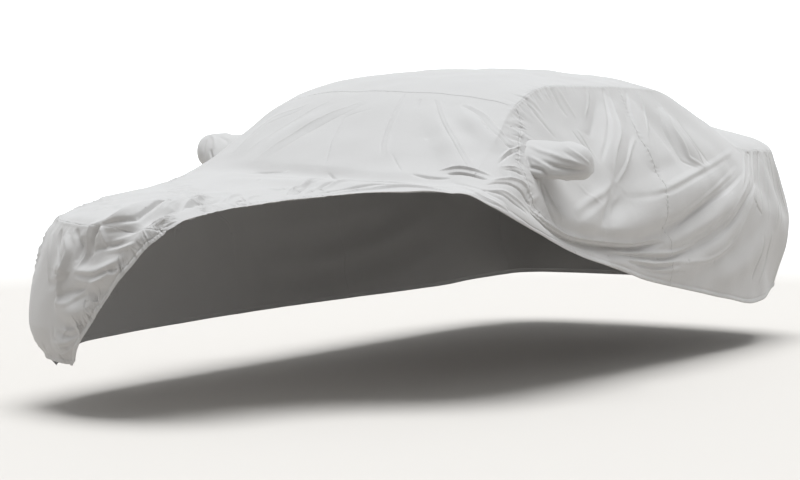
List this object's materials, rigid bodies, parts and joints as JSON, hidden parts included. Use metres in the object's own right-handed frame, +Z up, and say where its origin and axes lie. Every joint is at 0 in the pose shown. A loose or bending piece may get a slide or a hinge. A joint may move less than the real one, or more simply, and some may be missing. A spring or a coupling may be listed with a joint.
{
  "type": "car cover",
  "caption": "Fitted hollow car cover of light grey cloth, drawn back at one front corner, with mirror pockets and an elastic hem.",
  "frame": {"origin": "under the cloth of the roof at its highest stretch, where the car's roof carries the cover; the ground is 1.471 m below it", "axes": "+X towards the car's left side, +Y towards the tail, +Z up"},
  "size_m": [2.17, 4.9479, 1.2911],
  "materials": {
    "cover_cloth": "light silver-grey coated polyester cloth, matt, with a fine weave"
  },
  "bodies": {
    "root": {"bonnet_panel": "cover_cloth", "roof_panel": "cover_cloth", "nose_panel": "cover_cloth", "left_front_side": "cover_cloth", "left_rear_side": "cover_cloth", "right_front_side": "cover_cloth", "right_rear_side": "cover_cloth", "tail_panel": "cover_cloth", "left_mirror_pocket": "cover_cloth", "right_mirror_pocket": "cover_cloth"}
  },
  "joints": []
}
